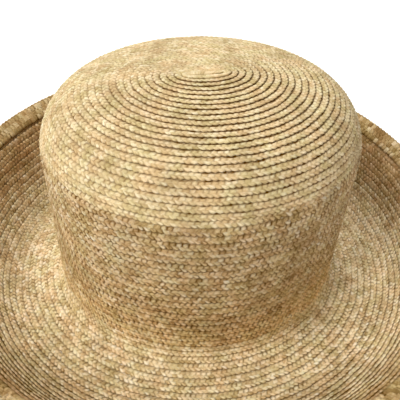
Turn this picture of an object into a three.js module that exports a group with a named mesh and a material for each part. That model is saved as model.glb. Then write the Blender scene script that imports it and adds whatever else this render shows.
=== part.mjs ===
// Sewn straw hat, a boater with a domed crown and a turned-up brim, in millimetres.
// The hat stands crown up on the flat ring under its brim, at the origin, with +Z up.
// +X is the long way of the head oval, front to back, and Y the short way.
// Every section is drawn as (offset, height): the offset is measured from the oval's spine,
// a short line along X at the middle of the crown, and is carried once round the oval.
// The brim is a little rounder than the head, and its rim stands higher at +Y than at -Y.

import * as THREE from 'three';
import { mergeVertices } from 'three/addons/utils/BufferGeometryUtils.js';

// Head opening, inside the straw
const HEAD_LENGTH = 190;
const HEAD_WIDTH = 172;

// Straw wall of the crown and brim: two braids where they overlap
const STRAW_WALL = 2;

// Crown
const CROWN_HEIGHT = 142;        // from the join with the brim to the top of the tip
const SHOULDER_RADIUS = 37;      // outside bend from the tip into the side
const TIP_SLOPE = 14;            // degrees down from level, where the tip meets the shoulder
const SHOULDER_SPREAD = 0.5;     // how far the side leans out from its base to the shoulder

// Brim
const BRIM_WIDTH = 85.5;         // from the inside of the crown to the raw edge, level
const JOIN_HEIGHT = 12.5;        // height of the crown join over the surface the hat stands on
const RIM_HEIGHT = 48;           // mean height of the underside of the raw edge
const RIM_LENGTHENING = 4.9;     // half the rim's length less half its width
const RIM_CLIMB = 0.3;           // share of its height by which the rim rises at +Y, sinks at -Y
const FLARE_WIDTH = 11;          // level width of the lip that flares out at the top
const FLARE_RISE = 5.5;          // how far that lip climbs

// Edge braid, folded over the raw edge of the brim
const EDGE_THICKNESS = 1.4;
const EDGE_TOP_WIDTH = 12;       // leg on the upper side
const EDGE_UNDER_WIDTH = 8.5;    // leg on the underside

// Space left between pieces that are sewn together
const SEAM_GAP = 0.3;

// Facets
const ROUND_STEPS = 60;          // once round the oval
const TIP_STEPS = 5;
const SHOULDER_STEPS = 7;
const SIDE_STEPS = 4;
const ROLL_STEPS = 8;            // from the crown join down to the resting ring
const UPTURN_STEPS = 13;         // from the resting ring up to the lip
const FOLD_STEPS = 6;            // round the fold of the edge braid

// Underside of the brim from the crown join down to the resting ring.
// out is a share of BRIM_WIDTH and up a share of JOIN_HEIGHT.
const ROLL_SECTION = [
  { out: 0.0, up: 1.0 },
  { out: 0.013, up: 0.6 },
  { out: 0.047, up: 0.33 },
  { out: 0.128, up: 0.14 },
  { out: 0.237, up: 0.03 },
  { out: 0.303, up: 0.0 },
];

// Underside of the brim from the resting ring up to the foot of the lip.
// out is a share of BRIM_WIDTH less the lip, and up a share of RIM_HEIGHT less the lip's rise.
const UPTURN_SECTION = [
  { out: 0.42, up: 0.0 },
  { out: 0.52, up: 0.025 },
  { out: 0.62, up: 0.115 },
  { out: 0.72, up: 0.27 },
  { out: 0.85, up: 0.6 },
  { out: 0.925, up: 0.83 },
  { out: 1.0, up: 1.0 },
];

const STRAW_COLOUR = 0xd3b67c;
const SHADED_STRAW_COLOUR = 0xc4a36b;
const EDGE_COLOUR = 0xc2a069;
const STRAW_ROUGHNESS = 0.62;

const DEGREE = Math.PI / 180;
const SPINE = (HEAD_LENGTH - HEAD_WIDTH) / 2;
const HEAD_OFFSET = HEAD_WIDTH / 2;

const CROWN_OFFSET = HEAD_OFFSET + STRAW_WALL + SHOULDER_SPREAD;
const RAW_EDGE_OFFSET = HEAD_OFFSET + BRIM_WIDTH;

// Half the length of the spine: the head's out to the crown, then evenly less out to the rim.
function spineAt(offset) {
  const share = Math.max(offset - CROWN_OFFSET, 0) / (RAW_EDGE_OFFSET - CROWN_OFFSET);
  return SPINE + (RIM_LENGTHENING - SPINE) * share;
}

// One point of the body: x = (offset + spine) cos(turn), y = offset sin(turn). A point that
// climbs is raised on the +Y side and lowered on the -Y side, by a share of its climb.
function bodyPoint([offset, height, climb = 0], turn) {
  return [
    (offset + spineAt(offset)) * Math.cos(turn),
    offset * Math.sin(turn),
    height + climb * RIM_CLIMB * Math.sin(turn),
  ];
}

// A closed body made by carrying a section round the oval.
// A looped section closes on itself. An open one starts and ends at the middle of the crown,
// where a flat fan closes the body.
function carryRound(section, looped) {
  const positions = [];
  const faces = [];
  section.forEach((point) => {
    for (let i = 0; i < ROUND_STEPS; i += 1) {
      positions.push(...bodyPoint(point, (i / ROUND_STEPS) * 2 * Math.PI));
    }
  });
  const last = looped ? section.length : section.length - 1;
  for (let j = 0; j < last; j += 1) {
    const here = j * ROUND_STEPS;
    const next = ((j + 1) % section.length) * ROUND_STEPS;
    for (let i = 0; i < ROUND_STEPS; i += 1) {
      const k = (i + 1) % ROUND_STEPS;
      faces.push(here + i, next + i, next + k, here + i, next + k, here + k);
    }
  }
  if (!looped) {
    const start = positions.length / 3;
    const end = start + 1;
    const lastRing = (section.length - 1) * ROUND_STEPS;
    positions.push(0, 0, section[0][1], 0, 0, section[section.length - 1][1]);
    for (let i = 0; i < ROUND_STEPS; i += 1) {
      const k = (i + 1) % ROUND_STEPS;
      faces.push(start, i, k, end, lastRing + k, lastRing + i);
    }
  }
  const geometry = new THREE.BufferGeometry();
  geometry.setAttribute('position', new THREE.Float32BufferAttribute(positions, 3));
  geometry.setIndex(faces);
  const closed = mergeVertices(geometry);
  closed.computeVertexNormals();
  return closed;
}

// A smooth line through the rows of a section table, as [offset, height] points.
function smoothLine(rows, outUnit, upUnit, steps) {
  const points = rows.map((row) => (
    new THREE.Vector3(HEAD_OFFSET + row.out * outUnit, row.up * upUnit, 0)
  ));
  const curve = new THREE.CatmullRomCurve3(points, false, 'centripetal');
  return curve.getSpacedPoints(steps).map((point) => [point.x, Math.max(point.y, 0)]);
}

// The same line moved sideways, to its left as it runs outward, by a distance.
function offsetLine(line, distance) {
  return line.map(([offset, height, climb], i) => {
    const before = line[Math.max(i - 1, 0)];
    const after = line[Math.min(i + 1, line.length - 1)];
    const run = after[0] - before[0];
    const rise = after[1] - before[1];
    const length = Math.hypot(run, rise);
    return [offset - (rise / length) * distance, height + (run / length) * distance, climb];
  });
}

// Crown section from the middle of the tip to the foot of the side, sunk inward by a depth.
// Two arcs and a line: the tip's wide arc, the shoulder's arc, the side's straight lean.
function crownLine(depth, footHeight) {
  const top = JOIN_HEIGHT + CROWN_HEIGHT;
  const slope = TIP_SLOPE * DEGREE;
  const foot = HEAD_OFFSET + STRAW_WALL;
  const widest = foot + SHOULDER_SPREAD;
  const bendCentre = widest - SHOULDER_RADIUS;
  const tipRadius = SHOULDER_RADIUS + bendCentre / Math.sin(slope);
  const bendHeight = top - tipRadius + (tipRadius - SHOULDER_RADIUS) * Math.cos(slope);
  const line = [];
  for (let i = 0; i <= TIP_STEPS; i += 1) {
    const angle = slope * (i / TIP_STEPS);
    const radius = tipRadius - depth;
    line.push([radius * Math.sin(angle), top - tipRadius + radius * Math.cos(angle)]);
  }
  line[0][0] = line[1][0] / ROUND_STEPS;
  for (let i = 1; i <= SHOULDER_STEPS; i += 1) {
    const angle = slope + (Math.PI / 2 - slope) * (i / SHOULDER_STEPS);
    const radius = SHOULDER_RADIUS - depth;
    line.push([bendCentre + radius * Math.sin(angle), bendHeight + radius * Math.cos(angle)]);
  }
  for (let i = 1; i <= SIDE_STEPS; i += 1) {
    const share = i / SIDE_STEPS;
    line.push([
      THREE.MathUtils.lerp(widest, foot, share) - depth,
      THREE.MathUtils.lerp(bendHeight, footHeight, share),
    ]);
  }
  return line;
}

function crownBody() {
  const footHeight = JOIN_HEIGHT + SEAM_GAP;
  const outside = crownLine(0, footHeight);
  const inside = crownLine(STRAW_WALL, footHeight);
  return carryRound([...outside, ...inside.reverse()], false);
}

// Underside of the brim from the crown join to the raw edge. The resting ring lies at height 0,
// and beyond it every point climbs by its own height.
function brimUnderside() {
  const upturnWidth = BRIM_WIDTH - FLARE_WIDTH;
  const upturnHeight = RIM_HEIGHT - FLARE_RISE;
  const upturn = smoothLine(UPTURN_SECTION, upturnWidth, upturnHeight, UPTURN_STEPS);
  return [
    ...smoothLine(ROLL_SECTION, BRIM_WIDTH, JOIN_HEIGHT, ROLL_STEPS),
    ...upturn.map(([offset, height]) => [offset, height, height]),
    [RAW_EDGE_OFFSET, RIM_HEIGHT, RIM_HEIGHT],
  ];
}

function brimBody() {
  const underside = brimUnderside();
  const upperSide = offsetLine(underside, STRAW_WALL);
  upperSide[0] = [HEAD_OFFSET + STRAW_WALL, JOIN_HEIGHT];
  return carryRound([...upperSide, ...underside.reverse()], true);
}

// Edge braid: a folded band round the raw edge. Its section is drawn in the lip's own
// directions, along the lip and square to it, with the edge's underside corner as start.
function edgeBody() {
  const lip = Math.atan2(FLARE_RISE, FLARE_WIDTH);
  const [alongX, alongY] = [Math.cos(lip), Math.sin(lip)];
  const place = ([along, square]) => [
    RAW_EDGE_OFFSET + along * alongX - square * alongY,
    RIM_HEIGHT + along * alongY + square * alongX,
    RIM_HEIGHT + along * alongY,
  ];
  const middle = STRAW_WALL / 2;
  const innerHalf = middle + SEAM_GAP;
  const outerHalf = innerHalf + EDGE_THICKNESS;
  const fold = [];
  for (let i = 0; i <= FOLD_STEPS; i += 1) {
    const angle = Math.PI / 2 - Math.PI * (i / FOLD_STEPS);
    fold.push([
      SEAM_GAP + EDGE_THICKNESS * Math.cos(angle),
      middle + outerHalf * Math.sin(angle),
    ]);
  }
  const section = [
    [-EDGE_TOP_WIDTH, middle + innerHalf],
    [-EDGE_TOP_WIDTH, middle + outerHalf],
    ...fold,
    [-EDGE_UNDER_WIDTH, middle - outerHalf],
    [-EDGE_UNDER_WIDTH, middle - innerHalf],
    [SEAM_GAP, middle - innerHalf],
    [SEAM_GAP, middle + innerHalf],
  ];
  return carryRound(section.map(place), true);
}

function straw(color) {
  return new THREE.MeshStandardMaterial({ color, roughness: STRAW_ROUGHNESS, metalness: 0 });
}

function piece(name, geometry, material) {
  const mesh = new THREE.Mesh(geometry, material);
  mesh.name = name;
  return mesh;
}

const hat = new THREE.Group();
hat.name = 'straw_boater';
hat.add(
  piece('crown', crownBody(), straw(STRAW_COLOUR)),
  piece('brim', brimBody(), straw(SHADED_STRAW_COLOUR)),
  piece('edge_braid', edgeBody(), straw(EDGE_COLOUR)),
);

export default hat;
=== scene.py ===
# %% [markdown]
# # A sewn straw hat
# A straw hat like this one is made of a single plaited braid, about 7 mm wide and some forty metres
# long. The sewer starts with a short fold at the middle of the tip and turns the work round and
# round, laying each new round under the edge of the last. The frame from the CAD holds the size of
# the walls. This lesson lays the braid on them, plait by plait, and then gives it the finish of
# wheat straw.

# %% Load the frame
import math

import bpy
import numpy as np
from mathutils import Matrix, Vector


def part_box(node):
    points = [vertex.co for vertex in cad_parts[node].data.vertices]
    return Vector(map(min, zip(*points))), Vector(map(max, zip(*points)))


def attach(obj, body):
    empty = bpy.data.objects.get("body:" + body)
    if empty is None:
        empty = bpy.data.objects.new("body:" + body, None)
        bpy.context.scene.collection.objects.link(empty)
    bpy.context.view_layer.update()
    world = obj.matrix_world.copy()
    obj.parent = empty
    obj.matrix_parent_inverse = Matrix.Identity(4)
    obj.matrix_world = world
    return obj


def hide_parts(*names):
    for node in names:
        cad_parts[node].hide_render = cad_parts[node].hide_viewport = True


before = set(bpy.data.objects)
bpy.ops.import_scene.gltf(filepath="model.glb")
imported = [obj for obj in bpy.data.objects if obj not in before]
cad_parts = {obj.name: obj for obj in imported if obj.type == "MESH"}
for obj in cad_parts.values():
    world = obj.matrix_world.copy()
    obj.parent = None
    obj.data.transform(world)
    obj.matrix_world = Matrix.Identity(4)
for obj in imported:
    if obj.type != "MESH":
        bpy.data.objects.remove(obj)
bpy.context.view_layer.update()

# %% [markdown]
# ## The walls as a line
# The crown and the brim are the same shape all round, only longer one way than the other. So the
# whole hat can be said with one line, seen in a cut from the middle of the tip to the edge of the
# brim, and a rule that carries it round an oval. The sizes come from the boxes of the CAD nodes, so
# the braid follows the frame if the frame changes.

# %% Sizes from the frame
MM = 0.001                            # Blender works in metres, this lesson in millimetres
WALL = 2.0                            # mm, the straw wall of the CAD
SEAM = 0.3                            # mm, the air between two pieces of the CAD
SPREAD = 0.5                          # mm, how far the side leans out at the shoulder
SHOULDER = 37.0                       # mm, outside bend from the tip to the side
TIP_SLOPE = math.radians(14)          # slope of the tip where the bend starts
CLIMB = 0.3                           # share by which the rim rises behind, sinks in front
LIP_WIDTH, LIP_RISE = 11.0, 5.5       # mm, the lip that flares out at the top of the brim
LIP = math.atan2(LIP_RISE, LIP_WIDTH)

crown_low, crown_high = (np.array(v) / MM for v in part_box("crown"))
brim_high = np.array(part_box("brim")[1]) / MM
SPINE = crown_high[0] - crown_high[1]  # half of the long way less half of the short way
FOOT = crown_high[1] - SPREAD         # outside of the crown at its foot, from the spine
TOP = crown_high[2]
JOIN = crown_low[2] - SEAM            # height where the crown meets the brim
EDGE_OUT = brim_high[1]               # raw edge of the brim, from the spine
RIM_SPINE = brim_high[0] - brim_high[1]  # the brim is rounder than the head
EDGE_UP = (brim_high[2] - WALL * math.cos(LIP)) / (1 + CLIMB)  # mean height of its underside
print(f"spine {SPINE:.1f}, foot {FOOT:.1f}, join {JOIN:.1f}, top {TOP:.1f} mm")
print(f"raw edge {EDGE_OUT:.1f} mm out and {EDGE_UP:.1f} mm up")

# %% [markdown]
# ## The cut of the crown
# A crown is pressed damp over a wooden block, which leaves a tip that is nearly flat, a round
# shoulder and a straight side. Two arcs and a straight line say that with three sizes, and each
# starts at the slope where the last one ends, so no crease shows.

# %% The cut of the crown
TIP_POINTS, BEND_POINTS, SIDE_POINTS = 60, 80, 40  # along the two arcs and the straight line


def crown_cut(depth):
    """Outside of the crown sunk by depth: a wide arc over the tip, a tighter arc at the shoulder
    that meets it at TIP_SLOPE, then a straight lean down to the foot. A point of an arc is its
    centre plus (radius - depth) times (sin, cos) of its slope."""
    widest = FOOT + SPREAD
    bend = widest - SHOULDER
    wide = SHOULDER + bend / math.sin(TIP_SLOPE)
    level = TOP - wide + (wide - SHOULDER) * math.cos(TIP_SLOPE)
    a = np.linspace(0, TIP_SLOPE, TIP_POINTS)
    b = np.linspace(TIP_SLOPE, math.pi / 2, BEND_POINTS)[1:]
    t = np.linspace(0, 1, SIDE_POINTS)[1:]
    out = np.concatenate([(wide - depth) * np.sin(a), bend + (SHOULDER - depth) * np.sin(b),
                          widest - depth - SPREAD * t])
    up = np.concatenate([TOP - wide + (wide - depth) * np.cos(a),
                         level + (SHOULDER - depth) * np.cos(b), level + (JOIN - level) * t])
    return np.stack([out, up], 1)


crown_line = crown_cut(WALL)
print(f"inside of the crown: {crown_line[:, 0].max():.1f} mm out, {crown_line[0, 1]:.1f} mm up")

# %% [markdown]
# ## The cut of the brim
# The brim leaves the crown in a short roll, rests on a flat ring, and is steamed up into a bowl
# whose top flares out in a lip. No circle fits that, so a few rows of a table give the places the
# line passes through. They are shares of the brim's own width and height, and they are easy to
# read and to change. A smooth line through them does the rest.

# %% The cut of the brim
# Underside of the brim. In the roll, out is a share of the brim's width and up of the height of
# the crown join. In the upturn, out is a share of the width and up of the height without the lip.
ROLL_ROWS = [(0.0, 1.0), (0.013, 0.6), (0.047, 0.33), (0.128, 0.14), (0.237, 0.03), (0.303, 0.0)]
UPTURN_ROWS = [(0.42, 0.0), (0.52, 0.025), (0.62, 0.115), (0.72, 0.27), (0.85, 0.6),
               (0.925, 0.83), (1.0, 1.0)]
BRIM_POINTS = 500                     # along the smooth line


def brim_cut():
    """Smooth line through the rows of the two tables and the raw edge. Between the rows p and q,
    with slopes m and n and w apart, a share t of the way gives the cubic
    (2t^3 - 3t^2 + 1) p + (t^3 - 2t^2 + t) w m + (3t^2 - 2t^3) q + (t^3 - t^2) w n.
    The slope at a row is the mean slope of its neighbours."""
    inside, width = FOOT - WALL, EDGE_OUT - FOOT + WALL
    rows = [(inside + o * width, u * JOIN) for o, u in ROLL_ROWS]
    rows += [(inside + o * (width - LIP_WIDTH), u * (EDGE_UP - LIP_RISE)) for o, u in UPTURN_ROWS]
    p = np.array(rows + [(EDGE_OUT, EDGE_UP)])
    chord = np.concatenate([[0], np.cumsum(np.hypot(*np.diff(p, axis=0).T))])
    slope = np.gradient(p, chord, axis=0)
    s = np.linspace(0, chord[-1], BRIM_POINTS)
    k = np.clip(np.searchsorted(chord, s, side="right") - 1, 0, len(p) - 2)
    w = (chord[k + 1] - chord[k])[:, None]
    t = ((s - chord[k])[:, None]) / w
    return ((2 * t**3 - 3 * t**2 + 1) * p[k] + (t**3 - 2 * t**2 + t) * w * slope[k]
            + (3 * t**2 - 2 * t**3) * p[k + 1] + (t**3 - t**2) * w * slope[k + 1])


brim_line = brim_cut()
print(f"underside of the brim: from {brim_line[0, 0]:.1f} to {brim_line[-1, 0]:.1f} mm out")

# %% [markdown]
# ## One line, measured in steps
# Rows of braid are counted in millimetres along the wall, so the two cuts are joined into one line
# with its points an even step apart. The direction of the line is needed too, because the braid
# is lifted off the wall at a right angle to it. It is averaged over a few steps, which rounds the
# corner between the crown and the brim.

# %% One line, measured in steps
LINE_STEP = 0.25                      # mm
BLUR_STEPS = 9                        # over which the direction is averaged


def evenly(line):
    """The same line with its points a fixed step apart, and how far along it each one lies."""
    far = np.concatenate([[0], np.cumsum(np.hypot(*np.diff(line, axis=0).T))])
    s = np.arange(0, far[-1], LINE_STEP)
    return s, np.stack([np.interp(s, far, line[:, 0]), np.interp(s, far, line[:, 1])], 1)


CROWN_RUN = evenly(crown_line)[0][-1]
run, wall = evenly(np.concatenate([crown_line, brim_line]))
BRIM_RUN = run[-1]
blur = np.hanning(BLUR_STEPS) / np.hanning(BLUR_STEPS).sum()
tangent = np.stack([np.convolve(np.pad(t, BLUR_STEPS // 2, "edge"), blur, "valid")
                    for t in np.gradient(wall, run, axis=0).T], 1)
tangent /= np.hypot(*tangent.T)[:, None]
print(f"from the tip to the foot {CROWN_RUN:.1f} mm, to the raw edge {BRIM_RUN:.1f} mm")

# %% [markdown]
# ## The line carried round the oval
# Each level of the hat is an oval that is a few millimetres longer than it is wide. Half of that
# difference is called the spine here. It is the head's on the crown and fades to the rim's on the
# brim. The brim also climbs behind and sinks in front, in step with the sine of the turn.

# %% Carry the line round the oval
ROLL_RUN = 26                         # mm from the crown join to the middle of the ring
climbs = np.where(run > CROWN_RUN + ROLL_RUN, wall[:, 1], 0.0)  # only the upturn climbs


def spine_at(d):
    """Half the length of the spine: the head's out to the crown, evenly less out to the rim."""
    share = np.maximum(d - FOOT - SPREAD, 0) / (EDGE_OUT - FOOT - SPREAD)
    return SPINE + (RIM_SPINE - SPINE) * share


def on_wall(along, turn, lift):
    """Point of the hat: along the line of the wall, turned round the oval, lifted off the wall.
    With d the line's distance from the spine, the oval is x = (d + spine) cos, y = d sin. The lift
    goes along the line's own normal, laid out along the normal of the oval. The height of the
    upturn is multiplied by 1 + CLIMB sin(turn)."""
    d = np.interp(along, run, wall[:, 0]) + np.minimum(along, 0)
    z = np.interp(along, run, wall[:, 1]) + CLIMB * np.sin(turn) * np.interp(along, run, climbs)
    # the outside lies to the left of the line as it runs outward and down
    nd = -np.interp(along, run, tangent[:, 1])
    nz = np.interp(along, run, tangent[:, 0])
    c, s = np.cos(turn), np.sin(turn)
    spine = spine_at(d)
    nx, ny = np.maximum(d, 1.0) * c, (np.maximum(d, 1.0) + spine) * s
    size = np.hypot(nx, ny)
    x = (d + spine) * c + nd * nx / size * lift
    y = d * s + nd * ny / size * lift
    return np.stack([x, y, z + nz * lift], -1)


behind, in_front = (on_wall(BRIM_RUN, turn, 0.0)[2] for turn in (math.pi / 2, -math.pi / 2))
print(f"underside of the raw edge: {behind:.1f} mm up behind, {in_front:.1f} mm in front")

# %% [markdown]
# ## One braid from the tip to the edge
# The braid is one strip that winds outward. Instead of drawing ring after ring, the row is counted
# with a number that never stops growing: each whole turn brings the strip one row further out. A
# row shows 4 mm on the tip, over 5 mm on the side and a little under 5 mm on the brim, because the
# sewer eases the overlap where the hat gets wider. Each row lies over the next one like a roof
# tile, so the lower edge stands proud and throws a thin shadow. The material adds painted shade
# along it, and the two make the thin dark line that one sees on the hat.

# %% The winding of the braid
TIP_AT, SHOULDER_AT = 60.6, 101.4     # mm from the middle, where a width of row ends
TIP_ROW, SHOULDER_ROW = 4.09, 3.9     # mm of each row that show
SIDE_ROW, BRIM_ROW = 5.35, 4.75
JOIN_EASE = 3                         # mm before and after the join where rows narrow
START_TURN = 0.55                     # turns, sets where round the tip the spiral starts
TURN_STEPS = 2000                     # steps in a turn for measuring its length
WIDTH_POINTS = 4000                   # points of the table of row widths

along_table = np.linspace(0, BRIM_RUN, WIDTH_POINTS)
below_shoulder = np.interp(along_table, [CROWN_RUN - JOIN_EASE, CROWN_RUN + JOIN_EASE],
                           [SIDE_ROW, BRIM_ROW])
width_table = np.where(along_table < TIP_AT, TIP_ROW,
                       np.where(along_table < SHOULDER_AT, SHOULDER_ROW, below_shoulder))
turn_table = np.concatenate([[0], np.cumsum(np.diff(along_table) / width_table[1:])]) - START_TURN


def row_edge(turns):
    """How far along the wall the lower edge of the row lies after so many turns: where the sum of
    step / width of row, from the middle outward, reaches that number."""
    return np.interp(turns, turn_table, along_table)


fine_turn = np.arange(0, turn_table[-1], 1 / TURN_STEPS)
fine_d = np.interp(row_edge(fine_turn), run, wall[:, 0])
speed = 2 * math.pi * np.hypot((fine_d + spine_at(fine_d)) * np.sin(2 * math.pi * fine_turn),
                               fine_d * np.cos(2 * math.pi * fine_turn))
fine_length = np.concatenate([[0], np.cumsum(speed[1:] * np.diff(fine_turn))])
print(f"{turn_table[-1]:.1f} turns, {fine_length[-1] / 1000:.1f} m of braid")

# %% [markdown]
# ## The plait itself
# A plait of split straw shows two tiers of short bright beads in each row: the straws come up,
# cross and dive again, and the beads of one tier sit between the beads of the other. A bead repeats
# every 3.3 mm. A real relief is used for the beads, because the hat is looked at from close by and
# its outline is made of them. The section has nine points, carried along the winding four times in
# each repeat, which keeps forty metres of plait light enough.

# %% Section of the plait
REPEAT = 3.3                          # mm, from bead to bead
STEPS = 4                             # stations along the braid in a repeat
THICK = 0.62                          # mm, one plait
LAP = 0.72                            # mm, how much a row climbs over the next
BASE = 0.42                           # mm, the middle of a row off the inside of the wall
# share of the visible row (0 where it comes out from under the row above, 1 at its lower edge),
# height on the plait (0 under, 1 top), still relief, relief with the bead, sign of the tier. The
# lower edge reaches down into the next row, so no light comes through between two rows.
SECTION = np.array([
    (-0.22, 1.0, -0.10, 0.00, 1), (0.07, 1.0, -0.20, 0.03, 1), (0.29, 1.0, 0.05, 0.20, 1),
    (0.52, 1.0, -0.12, 0.00, 1), (0.76, 1.0, 0.07, 0.21, -1), (0.97, 0.80, -0.08, 0.10, -1),
    (0.95, -0.60, 0.00, 0.04, -1), (0.15, 0.0, 0.00, 0.05, 1), (-0.45, 0.0, 0.05, 0.00, 1)])
PROUD, SHADED = 5, 6                  # the points on the proud edge and under it
share, level, still, with_bead, tier = SECTION.T
print(f"{len(SECTION)} points across, {STEPS / REPEAT:.2f} stations a millimetre")

# %% [markdown]
# ## The unrest of the hand
# No two beads of a sewn hat are alike: the sewer pulls now more and now less, and the edge of a row
# wanders by a fraction of a millimetre. Slow unrest is a sum of a few long waves, because waves
# have no kinks. Quick unrest is a seeded draw for each station, made once for the whole braid, so
# that two lengths agree where they meet.

# %% Unrest of the hand
EDGE_WAVES, EDGE_SEED = (61, 37, 23.5, 11.3), 5  # mm, waves in the line of the edge
LIFT_WAVES, LIFT_SEED = (47, 19, 83), 9  # mm, waves in the height of the row
LIFT_UNREST = 0.05                    # mm
HAND_SHIFT, HAND_SEED = 0.16, 100     # mm, how far a station moves along the braid
WEAKEST, STRONGEST = 0.65, 1.3        # how far a bead comes up, against the mean


def waves(length, seed, waves_mm, height):
    """Sum of sine waves of the given lengths, each with its own seeded start, times height over the
    root of their number: a slow, even unrest with no kinks."""
    rng = np.random.default_rng(seed)
    total = sum(np.sin(2 * math.pi * length / w + rng.uniform(0, 2 * math.pi)) for w in waves_mm)
    return height * total / math.sqrt(len(waves_mm))


all_stations = int(fine_length[-1] / REPEAT * STEPS) + 2
hand = np.random.default_rng(HAND_SEED)
hand_place = hand.uniform(-HAND_SHIFT, HAND_SHIFT, all_stations)
hand_strength = hand.uniform(WEAKEST, STRONGEST, all_stations)
print(f"{all_stations} stations, the hand moves them by {np.abs(hand_place).mean():.2f} mm")

# %% [markdown]
# ## What the finish has to know
# The straw is bright on the beads, dull where it dives and dark under the proud edge, and the
# material paints this shade into the colour. The mesh knows where that is, so each point carries
# one number for the material to read, called crest. The first turn comes out from under nothing,
# so it gets no painted dark root.

# %% Crest of each point
BEAD_RELIEF, FLAT_SWING = 0.09, 0.3   # below this relief, mm, a point has little swing
STILL_GAIN = 1.2                      # crest for each mm of still relief
DIVED = 0.45                          # what is left of the crest where the straw dives
EDGE_CREST, SHADE_CREST = 0.26, -0.7  # at most this on the proud edge, and this under it
FREE_TURNS, FREE_CREST, FREE_SHARE = 1.6, 0.75, 0.3  # the first turn lies open


def crest_at(beat, turns):
    """Crest and seen share of each point. Crest is 1 on a bead and 0 in a gap: half, plus half of
    the beat where the section rises with it, plus the still relief. Under the proud edge it falls
    below 0, and in the first turn it is drawn to FREE_CREST."""
    swing = np.where(with_bead > BEAD_RELIEF, 1, FLAT_SWING)
    crest = 0.5 + 0.5 * tier[None] * beat[:, None] * swing + STILL_GAIN * still[None]
    crest = np.clip(crest, 0, 1) * np.where(level > 0.5, 1.0, DIVED)
    # the lower half of the proud edge is in the shade of its own straws: below 0 marks it
    crest[:, SHADED] = SHADE_CREST
    crest[:, PROUD] = np.minimum(crest[:, PROUD], EDGE_CREST)
    free = np.clip(FREE_TURNS - turns, 0, 1)
    crest = crest + free * (FREE_CREST - crest)
    return crest, share[None] + free * np.clip(FREE_SHARE - share[None], 0, 1)


on_a_bead, _ = crest_at(np.ones(1), np.full((1, len(SECTION)), 2.0))
print("crest across the row on a bead:", on_a_bead.round(2).tolist())

# %% [markdown]
# ## A length of plait
# With the wall, the winding and the section ready, a length of braid is one grid of points: a
# station for every quarter repeat along it and nine points across. All of it is worked out at once
# as whole arrays, which takes less than a second where a loop over the points would take minutes.

# %% A length of plait
LEAN, MEAN_ROW = 0.42, 4.5            # mm along for each mm across, in a row of 4.5 mm
TIERS_MEET, EDGE_FROM = 0.52, 0.9     # shares of the row
WANDER = 0.8                          # how far the edge wanders, for each mm of unrest
CORE_TURNS, CORE_EASE, CORE_WIDER = 1.3, 0.3, 0.2  # the first turn is a little wider
CORE_REACH = 1.35                     # under 1.45, so that its hidden end passes the middle
CORE_CALM = 12                        # mm from the middle, inside which the edge lies still
PAST_MIDDLE = -0.5                    # mm


def plait(first_length, last_length, unrest):
    """Grid of points of the braid between two lengths along it. Along: stations a quarter repeat
    apart, with a little unrest. Across: the nine points of SECTION, each (1 - share) of the row
    back from its lower edge, and lifted by BASE + LAP (1 - back / row) + THICK level + relief.
    Returns points, UV (mm along, share across) and crest."""
    first, last = (math.ceil(v / REPEAT * STEPS) for v in (first_length, last_length))
    station = np.arange(first, last + 1)
    length = station * REPEAT / STEPS
    beat = np.cos(2 * math.pi * station / STEPS)
    # the straws lean, to one side in the upper tier and back in the lower one
    lean = LEAN * np.abs(share - TIERS_MEET) * MEAN_ROW
    far = length[:, None] + lean[None] + hand_place[station][:, None]
    far = np.clip(far, 0.0, fine_length[-1])
    turns = np.interp(far, fine_length, fine_turn)
    edge = row_edge(turns)
    row = np.interp(edge, along_table, width_table)
    # the first turn reaches a little past the middle, so that the core of the spiral is closed
    wider = 1 + CORE_WIDER * np.clip((CORE_TURNS - turns) / CORE_EASE, 0, 1)
    back = (1 - share)[None] * np.minimum(row * wider, edge / CORE_REACH)
    wander = waves(length, EDGE_SEED, EDGE_WAVES, WANDER * unrest)[:, None]
    edge = edge + wander * np.minimum(1, edge / CORE_CALM)
    sway = np.where(share > EDGE_FROM, unrest, 0.0)[None] * (beat[:, None] * tier[None])
    along = np.clip(edge - back + sway, PAST_MIDDLE, BRIM_RUN)
    relief = still[None] + with_bead[None] * tier[None] * (beat * hand_strength[station])[:, None]
    lift = BASE + LAP * (1 - back / row) + THICK * level[None] + relief
    lift = lift + waves(length, LIFT_SEED, LIFT_WAVES, LIFT_UNREST)[:, None]
    points = on_wall(along, 2 * math.pi * turns, lift)
    crest, seen = crest_at(beat, turns)
    uv = np.stack(np.broadcast_arrays(length[:, None], seen), -1)
    return points * MM, uv, crest


print("grid of the first 100 mm:", plait(0, 100, 0.25)[0].shape)

# %% [markdown]
# ## From a grid to a mesh
# Every piece of this hat is a section carried along a path, so one function makes all the meshes.
# It joins the points by quads, closes the section on itself, and caps the two ends, or joins them
# to each other for a ring. The arrays go straight into the mesh with foreach_set, which is many
# times faster than adding faces one by one.

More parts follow.
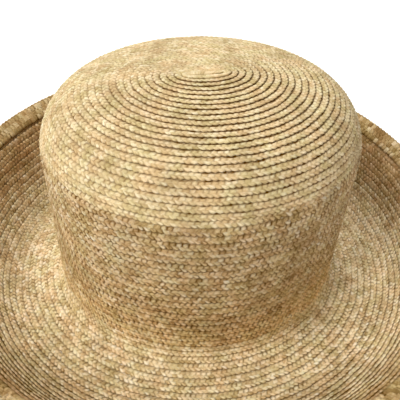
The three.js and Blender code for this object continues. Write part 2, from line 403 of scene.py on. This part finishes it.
# %% A closed tube from a grid
def tube(name, points, uv, crest, ring=False):
    """Mesh of a grid whose columns close on themselves. Row r and column c is point r m + c, and a
    quad joins it to its neighbours in the next row and column. The two ends get a flat cap each, or
    are joined for a ring. Each corner takes the UV of its point, and each point its crest."""
    n, m = points.shape[:2]
    rows = np.arange(n if ring else n - 1)[:, None]
    cols = np.arange(m)[None]
    nxt, step = (cols + 1) % m, (rows + 1) % n
    quads = np.stack([rows * m + cols, rows * m + nxt, step * m + nxt, step * m + cols], -1)
    quads = quads.reshape(-1, 4)
    loops = quads.ravel()
    starts = np.arange(len(quads)) * 4
    totals = np.full(len(quads), 4)
    if not ring:
        loops = np.concatenate([loops, np.arange(m)[::-1], (n - 1) * m + np.arange(m)])
        starts = np.concatenate([starts, [len(quads) * 4, len(quads) * 4 + m]])
        totals = np.concatenate([totals, [m, m]])
    mesh = bpy.data.meshes.new(name)
    mesh.vertices.add(n * m)
    mesh.vertices.foreach_set("co", points.reshape(-1).astype(np.float32))
    mesh.loops.add(len(loops))
    mesh.loops.foreach_set("vertex_index", loops.astype(np.int32))
    mesh.polygons.add(len(starts))
    mesh.polygons.foreach_set("loop_start", starts.astype(np.int32))
    mesh.polygons.foreach_set("loop_total", totals.astype(np.int32))
    mesh.update(calc_edges=True)
    corner_uv = uv.reshape(-1, 2)[loops].copy()
    if ring:
        # the last quads end where the first begin, so their far corners carry on the count
        seam = (np.arange(len(loops)) // 4 >= (n - 1) * m) & (loops < m)
        corner_uv[seam, 0] += uv[-1, 0, 0] - uv[0, 0, 0] + uv[1, 0, 0] - uv[0, 0, 0]
    mesh.uv_layers.new(name="braid").data.foreach_set("uv", corner_uv.ravel().astype(np.float32))
    mesh.attributes.new("crest", "FLOAT", "POINT").data.foreach_set(
        "value", crest.ravel().astype(np.float32))
    mesh.shade_smooth()
    mesh.validate()
    piece = bpy.data.objects.new(name, mesh)
    bpy.context.scene.collection.objects.link(piece)
    print(f"{name}: {sum(totals) - 2 * len(totals)} triangles")
    return piece


# %% [markdown]
# ## The rows, in six lengths
# The whole braid would be one mesh of nearly nine hundred thousand triangles. It is cut into six
# lengths, the tip, two for the side and three for the brim, and each starts where the last one
# ends. A cut falls inside a plait, so nobody can see it. The tip is sewn most evenly, and the edge
# of a row wanders most on the side.

# %% Where the braid is cut
PALE_RUN = 28                         # mm of the first wider row that are still pale


def length_at(along):
    """Length of braid used up when the row's lower edge has come this far along the wall."""
    turns = np.interp(along, along_table, turn_table)
    return float(np.interp(turns, fine_turn, fine_length))


tip_length, foot_length = length_at(SHOULDER_AT) + PALE_RUN, length_at(CROWN_RUN)
side_middle = (tip_length + foot_length) / 2
third = (fine_length[-1] - foot_length) / 3
# name, where it starts and ends in mm of braid, unrest of its edge in mm, CAD node, slot
cuts = [
    ("crown_tip_braid", 0, tip_length, 0.25, "crown", "crown_straw"),
    ("crown_side_upper_braid", tip_length, side_middle, 0.42, "crown", "crown_straw"),
    ("crown_side_lower_braid", side_middle, foot_length, 0.42, "crown", "crown_straw"),
    ("brim_inner_braid", foot_length, foot_length + third, 0.32, "brim", "brim_straw"),
    ("brim_middle_braid", foot_length + third, foot_length + 2 * third, 0.32,
     "brim", "brim_straw"),
    ("brim_upturn_braid", foot_length + 2 * third, fine_length[-1], 0.32,
     "brim", "brim_straw")]
print("metres of braid:", {cut[0]: round((cut[2] - cut[1]) / 1000, 1) for cut in cuts})

# %% Lay the braid
braids = {}
for name, start, end, unrest, stands_for, slot in cuts:
    braids[name] = tube(name, *plait(start, end, unrest))
    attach(braids[name], "root")
    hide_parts(stands_for)

# %% [markdown]
# ## The edge braid
# The raw edge is closed with one more braid, folded over it, about 12 mm above and 8 mm below. Its
# straws lie at a slant across the fold, close together, so it looks ribbed like a cord. It is a
# ring and not a winding, so its section can simply be carried once round.

# %% Section of the fold
EDGE_THICK = 1.4                      # mm
EDGE_ABOVE, EDGE_BELOW = 12.0, 8.5    # mm, its two legs
FOLD_START = 0.8                      # mm inside the raw edge, where the legs become a fold
ABOVE_POINTS, FOLD_POINTS, BELOW_POINTS = 10, 7, 7


def edge_section():
    """The folded braid cut across, in the lip's own directions, from the raw edge: x out along the
    lip, y off its underside. Outside points first: the upper leg from its end, the fold as a half
    circle (SEAM + EDGE_THICK cos, middle + half sin), the lower leg to its end. Then the inside
    back again."""
    mid, half = WALL / 2, WALL / 2 + SEAM + EDGE_THICK
    top = [(-x, mid + half) for x in np.linspace(EDGE_ABOVE, FOLD_START, ABOVE_POINTS)]
    arc = [(SEAM + EDGE_THICK * math.cos(a), mid + half * math.sin(a))
           for a in np.linspace(math.pi / 2, -math.pi / 2, FOLD_POINTS)]
    low = [(-x, mid - half) for x in np.linspace(FOLD_START, EDGE_BELOW, BELOW_POINTS)]
    inner = WALL / 2 + SEAM
    back = [(-EDGE_BELOW, mid - inner), (SEAM, mid - inner), (SEAM, mid + inner),
            (-EDGE_ABOVE, mid + inner)]
    return np.array(top + arc + low), np.array(back)


outside, inside = edge_section()
walk = np.concatenate([[0], np.cumsum(np.hypot(*np.diff(outside, axis=0).T))])
print(f"{len(outside) + len(inside)} points, {walk[-1]:.1f} mm of braid from end to end")

# %% Ribs round the edge
RIB = 3.4                             # mm, from bead to bead
RIB_STEPS = 4                         # stations in a rib
RING_POINTS = 2161                    # points once round for measuring its length
edge_turn = np.linspace(0, 2 * math.pi, RING_POINTS)
edge_speed = np.hypot((EDGE_OUT + RIM_SPINE) * np.sin(edge_turn), EDGE_OUT * np.cos(edge_turn))
edge_length = np.concatenate([[0], np.cumsum(edge_speed[1:] * np.diff(edge_turn))])
ribs = round(edge_length[-1] / RIB)
stations = np.linspace(0, edge_length[-1], ribs * RIB_STEPS + 1)[:-1]
angle = np.interp(stations, edge_length, edge_turn)
phase = 2 * math.pi * stations * ribs / edge_length[-1]
print(f"edge braid {edge_length[-1]:.0f} mm round, {ribs} ribs")

# %% [markdown]
# ## Beads on the fold
# The folded braid shows its beads in tiers across the fold, each tier half a bead further on and
# leaning the other way, with a shallow valley between two tiers. A cosine along the ribs and a
# half sine across a tier, multiplied, give just that. The beads sink at the two ends, where the
# braid is sewn down.

# %% Beads on the fold
TIER = 4.1                            # mm, one tier of the plait across the fold
BEAD_RISE, VALLEY_DEPTH, END_SINK = 0.30, 0.22, 1.0  # mm
END_FADE = 2.4                        # mm from an end over which the beads rise
BEAD_LEAN = 0.3                       # of a rib, from one side of a tier to the other
SMALLEST, LARGEST, RIB_SEED = 0.7, 1.2, 21  # size of a bead, against the mean
tier_of = np.floor(walk / TIER)
in_tier = walk / TIER - tier_of
other_way = 1 - 2 * (tier_of % 2)
slant = (math.pi * tier_of + other_way * 2 * math.pi * BEAD_LEAN * (in_tier - 0.5))[None]
ends = np.clip(np.minimum(walk, walk[-1] - walk) / END_FADE, 0, 1)[None]
rib = np.cos(phase[:, None] + slant)
rib_size = np.random.default_rng(RIB_SEED).uniform(SMALLEST, LARGEST, ribs)
rib_size = np.repeat(rib_size, RIB_STEPS)[:, None]
valley = np.sin(math.pi * in_tier)[None]
raised = (BEAD_RISE * rib * rib_size * valley - VALLEY_DEPTH * (1 - valley)) * ends
raised = raised + END_SINK * (ends - 1)
out_normal = np.gradient(outside, walk, axis=0)
out_normal = np.stack([-out_normal[:, 1], out_normal[:, 0]], 1)
out_normal /= np.hypot(*out_normal.T)[:, None]
print(f"beads rise to {raised.max():.2f} mm, valleys and ends sink to {raised.min():.2f} mm")

# %% Fold the braid over the edge
shape = outside[None] + out_normal[None] * raised[..., None]
shape = np.concatenate([shape, np.broadcast_to(inside, (len(stations),) + inside.shape)], 1)
lip_out = EDGE_OUT + shape[..., 0] * math.cos(LIP) - shape[..., 1] * math.sin(LIP)
lip_up = EDGE_UP + shape[..., 0] * math.sin(LIP) + shape[..., 1] * math.cos(LIP)
c, s = np.cos(angle)[:, None], np.sin(angle)[:, None]
lip_up = lip_up + CLIMB * s * (EDGE_UP + shape[..., 0] * math.sin(LIP))
edge_points = np.stack([(lip_out + spine_at(lip_out)) * c, lip_out * s, lip_up], -1)
# the inside is never seen, so its count across and its crest are only roughly right
all_walk = np.concatenate([walk, [walk[-1] + 1, walk[-1] + 8, walk[-1] + 11, walk[-1] + 22]])
edge_uv = np.stack(np.broadcast_arrays(stations[:, None], all_walk[None]), -1)
# crest is low in the valleys between ribs and at the sewn ends, where the material paints shade
edge_crest = np.clip(0.3 + 0.35 * rib + 0.35 * valley, 0, 1) * (0.4 + 0.6 * ends)
edge_crest = np.concatenate([edge_crest, np.full((len(stations), len(inside)), 0.2)], 1)
edge_piece = tube("edge_braid_band", edge_points * MM, edge_uv, edge_crest, ring=True)
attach(edge_piece, "root")
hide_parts("edge_braid")

# %% [markdown]
# ## The finish of wheat straw
# Split wheat straw is pale gold and waxy, lighter where the outer skin of the stalk shows and
# browner where the inside does, and no two straws have quite the same tone. Painted shade darkens
# the spaces between the plaits and the line under each row. A picture of straw could be wrapped
# round the hat, but it would stretch and repeat. Here each material is worked out from the braid's
# own UV map, whose first number is millimetres along the braid and whose second is the share
# across the row, so that the pattern follows every plait round the hat. On the edge braid the
# second number is millimetres too.

# %% Colours and nodes
def linear(hexcode):
    """sRGB hex colour as linear red, green, blue and 1: above 0.04045 it is
    ((v + 0.055) / 1.055) ^ 2.4, and below that v / 12.92."""
    srgb = np.array([int(hexcode[i:i + 2], 16) for i in (1, 3, 5)]) / 255
    flat = np.where(srgb <= 0.04045, srgb / 12.92, ((srgb + 0.055) / 1.055) ** 2.4)
    return (*flat.tolist(), 1.0)


def add(tree, kind, *values, named=None, stops=(), **settings):
    """Add a node and set its properties. The values go to its inputs in order and the named ones
    by name or number: a node or a socket is linked, a number or colour is filled in. The stops of
    a colour ramp are (place, hex colour)."""
    node = tree.nodes.new("ShaderNode" + kind)
    for key, value in settings.items():
        setattr(node, key, value)
    for key, value in [*enumerate(values), *(named or {}).items()]:
        if isinstance(value, bpy.types.Node):
            value = value.outputs[0]
        if isinstance(value, bpy.types.NodeSocket):
            tree.links.new(value, node.inputs[key])
        else:
            node.inputs[key].default_value = value
    for count, (place, colour) in enumerate(stops):
        points = node.color_ramp.elements
        point = points[count] if count < 2 else points.new(place)
        point.position, point.color = place, linear(colour)
    return node


print("middle grey is", [round(v, 3) for v in linear("#808080")])

# %% [markdown]
# ### Which bead is this?
# A material sees one point at a time. To give each bead its own tone, the point has to find out
# which bead it is in: the count along the braid in repeats, half a repeat back in the lower tier,
# rounded down. White noise turns that number into a chance value that is the same all over the
# bead.

# %% Count the beads
def find_bead(tree, repeat, tier_width):
    """Sockets and nodes that say where a point is. lower is the tier modulo 2, count is
    along / repeat + 0.5 - lower / 2, bead is a number for each bead, own its chance value."""
    parts = add(tree, "SeparateXYZ", add(tree, "UVMap", uv_map="braid"))
    along, across = parts.outputs[0], parts.outputs[1]
    tier = add(tree, "Math", across, tier_width, operation="DIVIDE")
    tier = add(tree, "Math", tier, operation="FLOOR")
    lower = add(tree, "Math", tier, operation="ABSOLUTE")
    lower = add(tree, "Math", lower, 2.0, operation="MODULO")
    count = add(tree, "Math", along, repeat, operation="DIVIDE")
    count = add(tree, "Math", count, 0.5, operation="ADD")
    count = add(tree, "Math", lower, -0.5, count, operation="MULTIPLY_ADD")
    bead = add(tree, "Math", count, operation="FLOOR")
    # a large odd step between the tiers keeps their numbers apart
    bead = add(tree, "Math", tier, 7919.5, bead, operation="MULTIPLY_ADD")
    own = add(tree, "TexWhiteNoise", named={"W": bead}, noise_dimensions="1D")
    return along, across, lower, count, bead, own


# %% [markdown]
# ### The tone of a straw
# Three things set the tone: each bead has its own, a straw keeps a tone for some centimetres until
# the plaiter lays in the next one, and fine fibres run along it. The fibres of real straw are about
# 0.05 mm wide, which is too fine to show in the render, so they are drawn ten times as wide. They
# cross the braid at a slant, the other way in the other tier. The brightest fibres reach the near
# white top of the ramp, which stands for the small glints of the waxy skin: painted highlights.

# %% Tone of a straw
OWN_SHARE, DRIFT_SHARE, FIBRE_SHARE = 0.26, 0.30, 0.95  # how far each moves the tone
TONE_SHIFT = 0.26                     # brings the mean of the three to the ramp's middle
STRAW_CHANGES = 0.03                  # a millimetre: a new straw every 33 mm
FIBRES_ALONG = 0.5                    # a millimetre: 2 mm long
FIBRES_ACROSS = 9.0                   # in a row of 5 mm: about 0.5 mm wide
FIBRE_SLANT = 0.18                    # share of a row for each mm along


def straw_tone(tree, bead_place, tones):
    """Colour of the straw and its fibre: tone = OWN_SHARE own + DRIFT_SHARE drift + FIBRE_SHARE
    fibre - TONE_SHIFT, read off the ramp of tones."""
    along, across, lower, _, bead, own = bead_place
    place = add(tree, "Math", along, STRAW_CHANGES, operation="MULTIPLY")
    drift = add(tree, "TexNoise", named={
        "Vector": add(tree, "CombineXYZ", place, lower), "Scale": 1.0, "Detail": 2.0,
        "Roughness": 0.6})
    slant = add(tree, "Math", lower, -2 * FIBRE_SLANT, FIBRE_SLANT, operation="MULTIPLY_ADD")
    cross = add(tree, "Math", along, slant, across, operation="MULTIPLY_ADD")
    cross = add(tree, "Math", cross, FIBRES_ACROSS, operation="MULTIPLY")
    place = add(tree, "Math", along, FIBRES_ALONG, operation="MULTIPLY")
    fibre = add(tree, "TexNoise", named={
        "Vector": add(tree, "CombineXYZ", place, cross, bead), "Scale": 1.0, "Detail": 3.0,
        "Roughness": 0.55})
    tone = add(tree, "Math", drift, DRIFT_SHARE, operation="MULTIPLY")
    tone = add(tree, "Math", own, OWN_SHARE, tone, operation="MULTIPLY_ADD")
    tone = add(tree, "Math", tone, TONE_SHIFT, operation="SUBTRACT")
    tone = add(tree, "Math", fibre, FIBRE_SHARE, tone, operation="MULTIPLY_ADD")
    # the near white top stop of the tones gives painted highlights where the fibres are brightest
    return add(tree, "ValToRGB", tone, stops=tones), fibre


# %% [markdown]
# ### Patches, and painted shade by height
# A hat is wetted and pressed when it is blocked, which leaves lighter and darker patches, and straw
# from different stalks is a little greener or pinker. These patches don't follow the braid, so they
# are read from the place on the hat, through Object coordinates. On the side and the brim one more
# tone comes in with the height over the table. It is painted shade: the side grows darker and
# greyer towards the shoulder, and the brim darker and browner up its upturn.

# %% Patches and painted shade
PRESSED, PRESSED_SHARE = 62.0, 0.8    # patches a metre, 16 mm each
PRESSED_TONES = [(0.33, "#dcdad4"), (0.5, "#f4f4f4"), (0.68, "#ffffff")]
STALKS, STALKS_SHARE = 110.0, 0.5     # patches a metre, 9 mm each
STALKS_TONES = [(0.34, "#e6ead2"), (0.5, "#ffffff"), (0.66, "#f8e6dc")]


def patches_and_height_shade(tree, colour, place, height_shade):
    """The colour times the tone of each kind of patch, by its share. height_shade, painted shade by
    height, is (height where a tone begins, height where it is full, share, colour), in metres, or
    None."""
    for scale, detail, stops, strength in ((PRESSED, 2.0, PRESSED_TONES, PRESSED_SHARE),
                                           (STALKS, 1.0, STALKS_TONES, STALKS_SHARE)):
        patch = add(tree, "TexNoise", named={"Vector": place, "Scale": scale, "Detail": detail})
        patch = add(tree, "ValToRGB", patch, stops=stops)
        colour = add(tree, "Mix", named={0: strength, 6: colour, 7: patch}, data_type="RGBA",
                     blend_type="MULTIPLY").outputs[2]
    # painted shade: the colour times a darker tone that grows with the height over the table
    if height_shade:
        low, high, strength, tone = height_shade
        height = add(tree, "SeparateXYZ", place).outputs[2]
        height = add(tree, "MapRange", height, low, high, 0.0, strength)
        colour = add(tree, "Mix", named={0: height, 6: colour, 7: linear(tone)},
                     data_type="RGBA", blend_type="MULTIPLY").outputs[2]
    return colour


# %% [markdown]
# ### Gaps between the beads
# Where a straw dives, one looks into the gap beside it, which lies in shade, and that shade is
# painted into the colour. Some gaps stand open and show dark, others are closed, so each bead draws
# how dark its painted shade is. The gap lies half a repeat from the middle of a bead, and painted
# shade also falls wherever the relief of the mesh is low.

# %% Gaps between the beads
GROOVE_FROM, GROOVE_STEEP, GROOVE_SHARE = 0.30, 4.5, 0.35  # of a repeat, per repeat, darkness
HOLLOW_BELOW, HOLLOW_STEEP = 0.60, 1.5  # crest below which a point is in a hollow
CLOSED_GAP, GAP_CURVE = 0.24, 1.4     # darkness of a closed gap, how rare open ones are


def painted_gap_shade(tree, bead_place, crest, gap_shade):
    """Painted shade of the gaps: the larger of the groove between two beads and the hollows of the
    mesh, times (CLOSED_GAP + gap_shade times chance ^ GAP_CURVE)."""
    _, _, _, count, bead, _ = bead_place
    off = add(tree, "Math", count, operation="FRACT")
    off = add(tree, "Math", off, 0.5, operation="SUBTRACT")
    off = add(tree, "Math", off, operation="ABSOLUTE")
    groove = add(tree, "Math", off, GROOVE_FROM, operation="SUBTRACT")
    groove = add(tree, "Math", groove, GROOVE_STEEP, operation="MULTIPLY")
    groove = add(tree, "Math", groove, 1.0, 0.1, operation="SMOOTH_MIN")
    groove = add(tree, "Math", groove, GROOVE_SHARE, operation="MULTIPLY")
    # painted shade in the hollows of the mesh, where crest is low
    hollow = add(tree, "Math", HOLLOW_BELOW, crest, operation="SUBTRACT")
    hollow = add(tree, "Math", hollow, HOLLOW_STEEP, operation="MULTIPLY", use_clamp=True)
    deep = add(tree, "Math", groove, hollow, operation="MAXIMUM")
    chance = add(tree, "Math", bead, 0.37, operation="ADD")
    chance = add(tree, "TexWhiteNoise", named={"W": chance}, noise_dimensions="1D")
    chance = add(tree, "Math", chance, GAP_CURVE, operation="POWER")
    chance = add(tree, "Math", chance, gap_shade, CLOSED_GAP, operation="MULTIPLY_ADD")
    return add(tree, "Math", deep, chance, operation="MULTIPLY")


# %% [markdown]
# ### The dark line between two rows
# The proud edge of a row throws a thin shadow on the next one, and the material paints that line
# in as painted shade. The line breaks off where the two rows touch, every few millimetres. The
# hat's left faces the key lamp, so less painted shade goes into the line there.

# %% Line between two rows
TOUCHES = 0.16                        # a millimetre: the line changes every 6 mm
LIT_SIDE_X, SHADED_SIDE_X = -0.065, -0.005  # m, left of the first the painted shade line is weakest, right of the second full
ROOT_WIDTH, SHADE_BELOW = 0.22, 0.22  # of a row, and crest, below which the line lies
LINE_STEEP = 3.5                      # how fast the line darkens from its border inward
APART_FROM, APART_STEEP = 0.36, 3.6   # noise above which two rows stand apart


def row_line(tree, bead_place, crest, place, tier_width, root_share, broken, lit_side_line):
    """Painted shade of the line between two rows: the larger of the root of the row, where it comes
    out from under the last one, and the shade below the proud edge, both times how far the rows
    stand apart, and towards the lit left times lit_side_line."""
    along, across, _, _, _, own = bead_place
    # painted shade at the root of a row, where it comes out from under the last one
    root = add(tree, "Math", ROOT_WIDTH * tier_width * 2, across, operation="SUBTRACT")
    root = add(tree, "Math", root, LINE_STEEP / tier_width, operation="MULTIPLY", use_clamp=True)
    apart = add(tree, "Math", along, TOUCHES, operation="MULTIPLY")
    apart = add(tree, "TexNoise", named={
        "Vector": add(tree, "CombineXYZ", apart), "Scale": 1.0, "Detail": 2.0, "Roughness": 0.7})
    apart = add(tree, "Math", apart, APART_FROM, operation="SUBTRACT")
    apart = add(tree, "Math", apart, APART_STEEP, operation="MULTIPLY", use_clamp=True)
    dark = add(tree, "Math", apart, root_share, 0.05, operation="MULTIPLY_ADD")
    root = add(tree, "Math", root, dark, operation="MULTIPLY")
    # painted shade under the proud edge, where crest is low
    shade = add(tree, "Math", SHADE_BELOW, crest, operation="SUBTRACT")
    shade = add(tree, "Math", shade, LINE_STEEP, operation="MULTIPLY", use_clamp=True)
    dark = add(tree, "Math", apart, 0.35, 0.8 - broken, operation="MULTIPLY_ADD")
    shade = add(tree, "Math", shade, dark, operation="MULTIPLY")
    dark = add(tree, "Math", own, broken, 1.0, operation="MULTIPLY_ADD")
    shade = add(tree, "Math", shade, dark, operation="MULTIPLY")
    # less painted shade to the left, which faces the key lamp
    left = add(tree, "SeparateXYZ", place).outputs[0]
    left = add(tree, "MapRange", left, LIT_SIDE_X, SHADED_SIDE_X, lit_side_line, 1.0)
    line = add(tree, "Math", root, shade, operation="MAXIMUM")
    return add(tree, "Math", left, line, operation="MULTIPLY")


# %% [markdown]
# ### The material
# Straw is no metal and its wax gives a soft sheen. It starts from the index of refraction of
# cellulose, 1.5, which is the default, and a roughness of 0.5. The sheen is held low, because a
# skin that is split and pressed scatters most of the light, and gaps are rougher than beads. The
# small glints on the beads come from painted highlights in the fibre tones instead. The relief of
# fibres and gaps, a fifth of a millimetre, is left to bump.

# %% Wheat straw, plaited
BEAD_ROUGHNESS, ROUGHER, GAP_ROUGHER = 0.48, 0.16, 0.36
SHEEN = 0.03
BUMP_DEPTH = 0.00022                  # m


def plaited_straw(name, tones, groove, gap_shade, root_share, repeat=REPEAT, tier_width=0.5,
                  height_shade=None, broken=0.1, lit_side_line=1.0):
    """Material of plaited straw. tones are the stops of the ramp, groove the colour of the painted
    shade in gaps and lines, gap_shade how dark the painted shade in the gaps between beads gets,
    root_share how dark the painted line under a row, broken how much that line comes and goes,
    lit_side_line what is left of it on the lit left, height_shade the painted shade by height."""
    material = bpy.data.materials.new(name)
    material.use_nodes = True
    tree = material.node_tree
    tree.nodes.clear()
    place = add(tree, "TexCoord").outputs["Object"]
    crest = add(tree, "Attribute", attribute_name="crest").outputs["Fac"]
    bead_place = find_bead(tree, repeat, tier_width)
    own = bead_place[-1]
    colour, fibre = straw_tone(tree, bead_place, tones)
    colour = patches_and_height_shade(tree, colour, place, height_shade)
    gaps = painted_gap_shade(tree, bead_place, crest, gap_shade)
    line = row_line(tree, bead_place, crest, place, tier_width, root_share, broken, lit_side_line)
    # painted shade: gaps and lines between rows pull the colour to the groove colour
    deep = add(tree, "Math", gaps, line, operation="MAXIMUM")
    colour = add(tree, "Mix", named={0: deep, 6: colour, 7: linear(groove)},
                 data_type="RGBA").outputs[2]
    rough = add(tree, "Math", own, ROUGHER, BEAD_ROUGHNESS, operation="MULTIPLY_ADD")
    rough = add(tree, "Math", deep, GAP_ROUGHER, rough, operation="MULTIPLY_ADD")
    height = add(tree, "Math", deep, -0.8, operation="MULTIPLY")
    height = add(tree, "Math", fibre, 1.0, height, operation="MULTIPLY_ADD")
    bump = add(tree, "Bump", named={"Strength": 0.55, "Distance": BUMP_DEPTH, "Height": height})
    shader = add(tree, "BsdfPrincipled", named={
        "Base Color": colour, "Roughness": rough, "Normal": bump, "Specular IOR Level": SHEEN})
    add(tree, "OutputMaterial", named={"Surface": shader})
    print(f"{name}: {len(tree.nodes)} nodes")
    return material


# %% [markdown]
# ## Four straws
# The hat shows four finishes of the same wheat straw. The braid for the tip is bleached, the side
# is painted darker and greyer towards the shoulder as painted shade, the brim is left natural and
# painted browner up its upturn as painted shade, and the braid on the edge is folded wet. So they
# share one recipe and differ in their tones, and in how dark the painted shade in the gaps and in
# the lines between the rows is.

# %% Bleached straw for the tip
# Wheat straw, split, bleached before plaiting and pressed smooth on the block. Bleaching takes out
# the yellow and evens the stalks, so the beads are pale and close in tone, and the brown lines of
# painted shade between the rows stand out all the more.
tip_straw = plaited_straw(
    "wheat_straw_bleached",
    tones=[(0.20, "#b0986a"), (0.48, "#d9c499"), (0.68, "#ebdebb"), (0.88, "#fff6e6")],
    groove="#613d00", gap_shade=0.72, root_share=1.25, broken=0.0, lit_side_line=0.4)

# %% Side straw, with painted shade towards the shoulder
# Wheat straw, split and plaited unbleached. Painted shade makes it darker and greyer the higher it
# goes, towards the shoulder. Its gaps get more painted shade than on the tip, so the eye sees gaps
# as much as beads, and the lines between the rows come and go.
side_straw = plaited_straw(
    "wheat_straw_side_painted_shade",
    tones=[(0.22, "#93703f"), (0.47, "#e2c28c"), (0.64, "#f7e2b9"), (0.82, "#fffbea")],
    groove="#5c3c06", gap_shade=1.3, root_share=0.5, height_shade=(0.03, 0.088, 0.5, "#c1c6d3"),
    broken=0.45, lit_side_line=0.6)

# %% Natural straw for the brim
# Wheat straw, split, plaited damp and pressed flat, with its own wax left on. It is the warmest
# of the four, gold with pale and brown stalks side by side. Painted shade makes it darker and
# browner up the upturn.
brim_straw = plaited_straw(
    "wheat_straw_natural",
    tones=[(0.22, "#a58552"), (0.47, "#e4cc9f"), (0.64, "#f8e9c6"), (0.82, "#fffdf5")],
    groove="#604408", gap_shade=1.0, root_share=0.65, height_shade=(0.018, 0.036, 0.55, "#cba77c"),
    broken=0.3)

# %% Folded straw for the edge
# Wheat straw, plaited tight and folded wet over the edge. Its tones are darker and duller than the
# brim's. The ribs stay bright, while painted shade darkens the valleys between them and the ends
# where the braid is sewn down. It has no rows, so it has no line between them either.
edge_straw = plaited_straw(
    "wheat_straw_folded",
    tones=[(0.24, "#6d5026"), (0.46, "#b09260"), (0.62, "#d9c294"), (0.80, "#fff4dc")],
    groove="#553a06", gap_shade=1.3, root_share=0.0, repeat=RIB, tier_width=TIER)

# %% Give each piece its straw
for name, braid in braids.items():
    finish = brim_straw if name.startswith("brim") else tip_straw if "tip" in name else side_straw
    braid.data.materials.append(finish)
    print(name, "is", finish.name)
edge_piece.data.materials.append(edge_straw)

# %% [markdown]
# ## The floor
# The hat stands on white. A floor of matt paper takes its soft shadow, and a faint glow of its own
# keeps the paper white where the lamps reach it least.

# %% The floor
FLOOR_HALF = 3                        # m
floor_mesh = bpy.data.meshes.new("floor")
floor_mesh.from_pydata([(x * FLOOR_HALF, y * FLOOR_HALF, 0)
                        for x, y in ((-1, -1), (1, -1), (1, 1), (-1, 1))], [], [(0, 1, 2, 3)])
floor = bpy.data.objects.new("floor", floor_mesh)
bpy.context.scene.collection.objects.link(floor)
# Uncoated white paper: pressed fibres with no glaze, which scatter the light evenly.
paper = bpy.data.materials.new("white_paper")
paper.use_nodes = True
sheet = paper.node_tree.nodes["Principled BSDF"].inputs
sheet["Base Color"].default_value = linear("#ffffff")
sheet["Roughness"].default_value = 0.9
sheet["Emission Color"].default_value = linear("#ffffff")
sheet["Emission Strength"].default_value = 0.12
floor.data.materials.append(paper)
print(f"floor of {2 * FLOOR_HALF} m square")

# %% [markdown]
# ## The light
# The hat is photographed from above and in front, in soft light from the upper left. One large soft
# lamp on the left lights the tip and the brim and leaves the right of the side in shade. A second
# one behind lights the far half of the tip, and three weak ones, overhead, in front and on the
# right, fill the shadows. Large lamps near the hat are used, because a small one would draw a hard
# shadow under every row.

# %% Soft lamps
LAMP_AWAY, LAMP_SIZE = 2, 1.2         # m
LAMP_BASE, AIM_HEIGHT = 0.1, 0.08     # m over the floor


def lamp_at(name, around, height, power, colour):
    """Square lamp that looks at the hat from LAMP_AWAY. around is counted from the front towards
    the right, height above the floor, in degrees: LAMP_AWAY times (sin a cos h, -cos a cos h,
    sin h), from LAMP_BASE up."""
    a, h = math.radians(around), math.radians(height)
    data = bpy.data.lights.new(name, "AREA")
    data.energy, data.size, data.color = power, LAMP_SIZE, linear(colour)[:3]
    lamp = bpy.data.objects.new(name, data)
    lamp.location = (LAMP_AWAY * math.sin(a) * math.cos(h), -LAMP_AWAY * math.cos(a) * math.cos(h),
                     LAMP_BASE + LAMP_AWAY * math.sin(h))
    to_hat = Vector((0, 0, AIM_HEIGHT)) - lamp.location
    lamp.rotation_euler = to_hat.to_track_quat("-Z", "Y").to_euler()
    bpy.context.scene.collection.objects.link(lamp)
    print(f"{name}: {power} W, {around} degrees round, {height} up")


lamp_at("key_lamp", 291, 44, 42.0, "#fffcf6")
lamp_at("top_lamp", 60, 78, 11.0, "#ffffff")
lamp_at("back_lamp", 180, 45, 25.5, "#ffffff")
lamp_at("front_lamp", 342, 32, 4.8, "#ffedd2")
lamp_at("right_lamp", 48, 27, 5.5, "#ffedd2")

# %% The room
# The camera sees a white wall, while the hat gets only a weak warm light from the room.
world = bpy.data.worlds.new("pale_room")
world.use_nodes = True
room = world.node_tree
room.nodes.clear()
dim = add(room, "Background", named={"Color": linear("#f6e4c8"), "Strength": 0.04})
wall_seen = add(room, "Background", named={"Color": linear("#ffffff"), "Strength": 1.0})
seen_by = add(room, "LightPath").outputs["Is Camera Ray"]
add(room, "OutputWorld", named={"Surface": add(room, "MixShader", seen_by, dim, wall_seen)})
bpy.context.scene.world = world
bpy.context.scene.view_settings.view_transform = "Standard"
print(f"{world.name}: {len(room.nodes)} nodes")

# %% [markdown]
# ## The camera
# The camera's place was worked out from the outlines of the tip, the side and the rim and from the
# rows of braid. It is given as an angle, a distance and a small shift from the middle of the tip,
# because these can be changed one by one: the angle opens or closes the ovals, the distance sets
# how much larger the tip looks than the brim.

# %% Camera
ELEVATION = math.radians(41.63)
TURN = math.radians(11.54)            # the hat's front is turned a little
ROLL = math.radians(2.51)
DISTANCE = 0.3127                     # m, from the middle of the tip
ACROSS, UPWARD = -0.00034, 0.07225    # m, the tip in the picture, from its middle
FOCAL_LENGTH, SENSOR_WIDTH = 49.85, 36.0  # mm
ahead = Vector((0, math.cos(ELEVATION), -math.sin(ELEVATION)))
right = Vector((1, 0, 0))
upward = Vector((0, math.sin(ELEVATION), math.cos(ELEVATION)))
eye = Vector((0, 0, TOP * MM)) - DISTANCE * ahead - UPWARD * upward - ACROSS * right
turned_right = math.cos(ROLL) * right + math.sin(ROLL) * upward
turned_up = -math.sin(ROLL) * right + math.cos(ROLL) * upward
matrix = Matrix((turned_right, turned_up, -ahead)).transposed().to_4x4()
matrix.translation = eye
lens = bpy.data.cameras.new("camera")
lens.lens, lens.sensor_width = FOCAL_LENGTH, SENSOR_WIDTH
lens.clip_start = 0.01
camera = bpy.data.objects.new("camera", lens)
camera.matrix_world = Matrix.Rotation(-TURN, 4, "Z") @ matrix
bpy.context.scene.collection.objects.link(camera)
bpy.context.scene.camera = camera
print("camera at", [round(v, 3) for v in camera.matrix_world.translation])
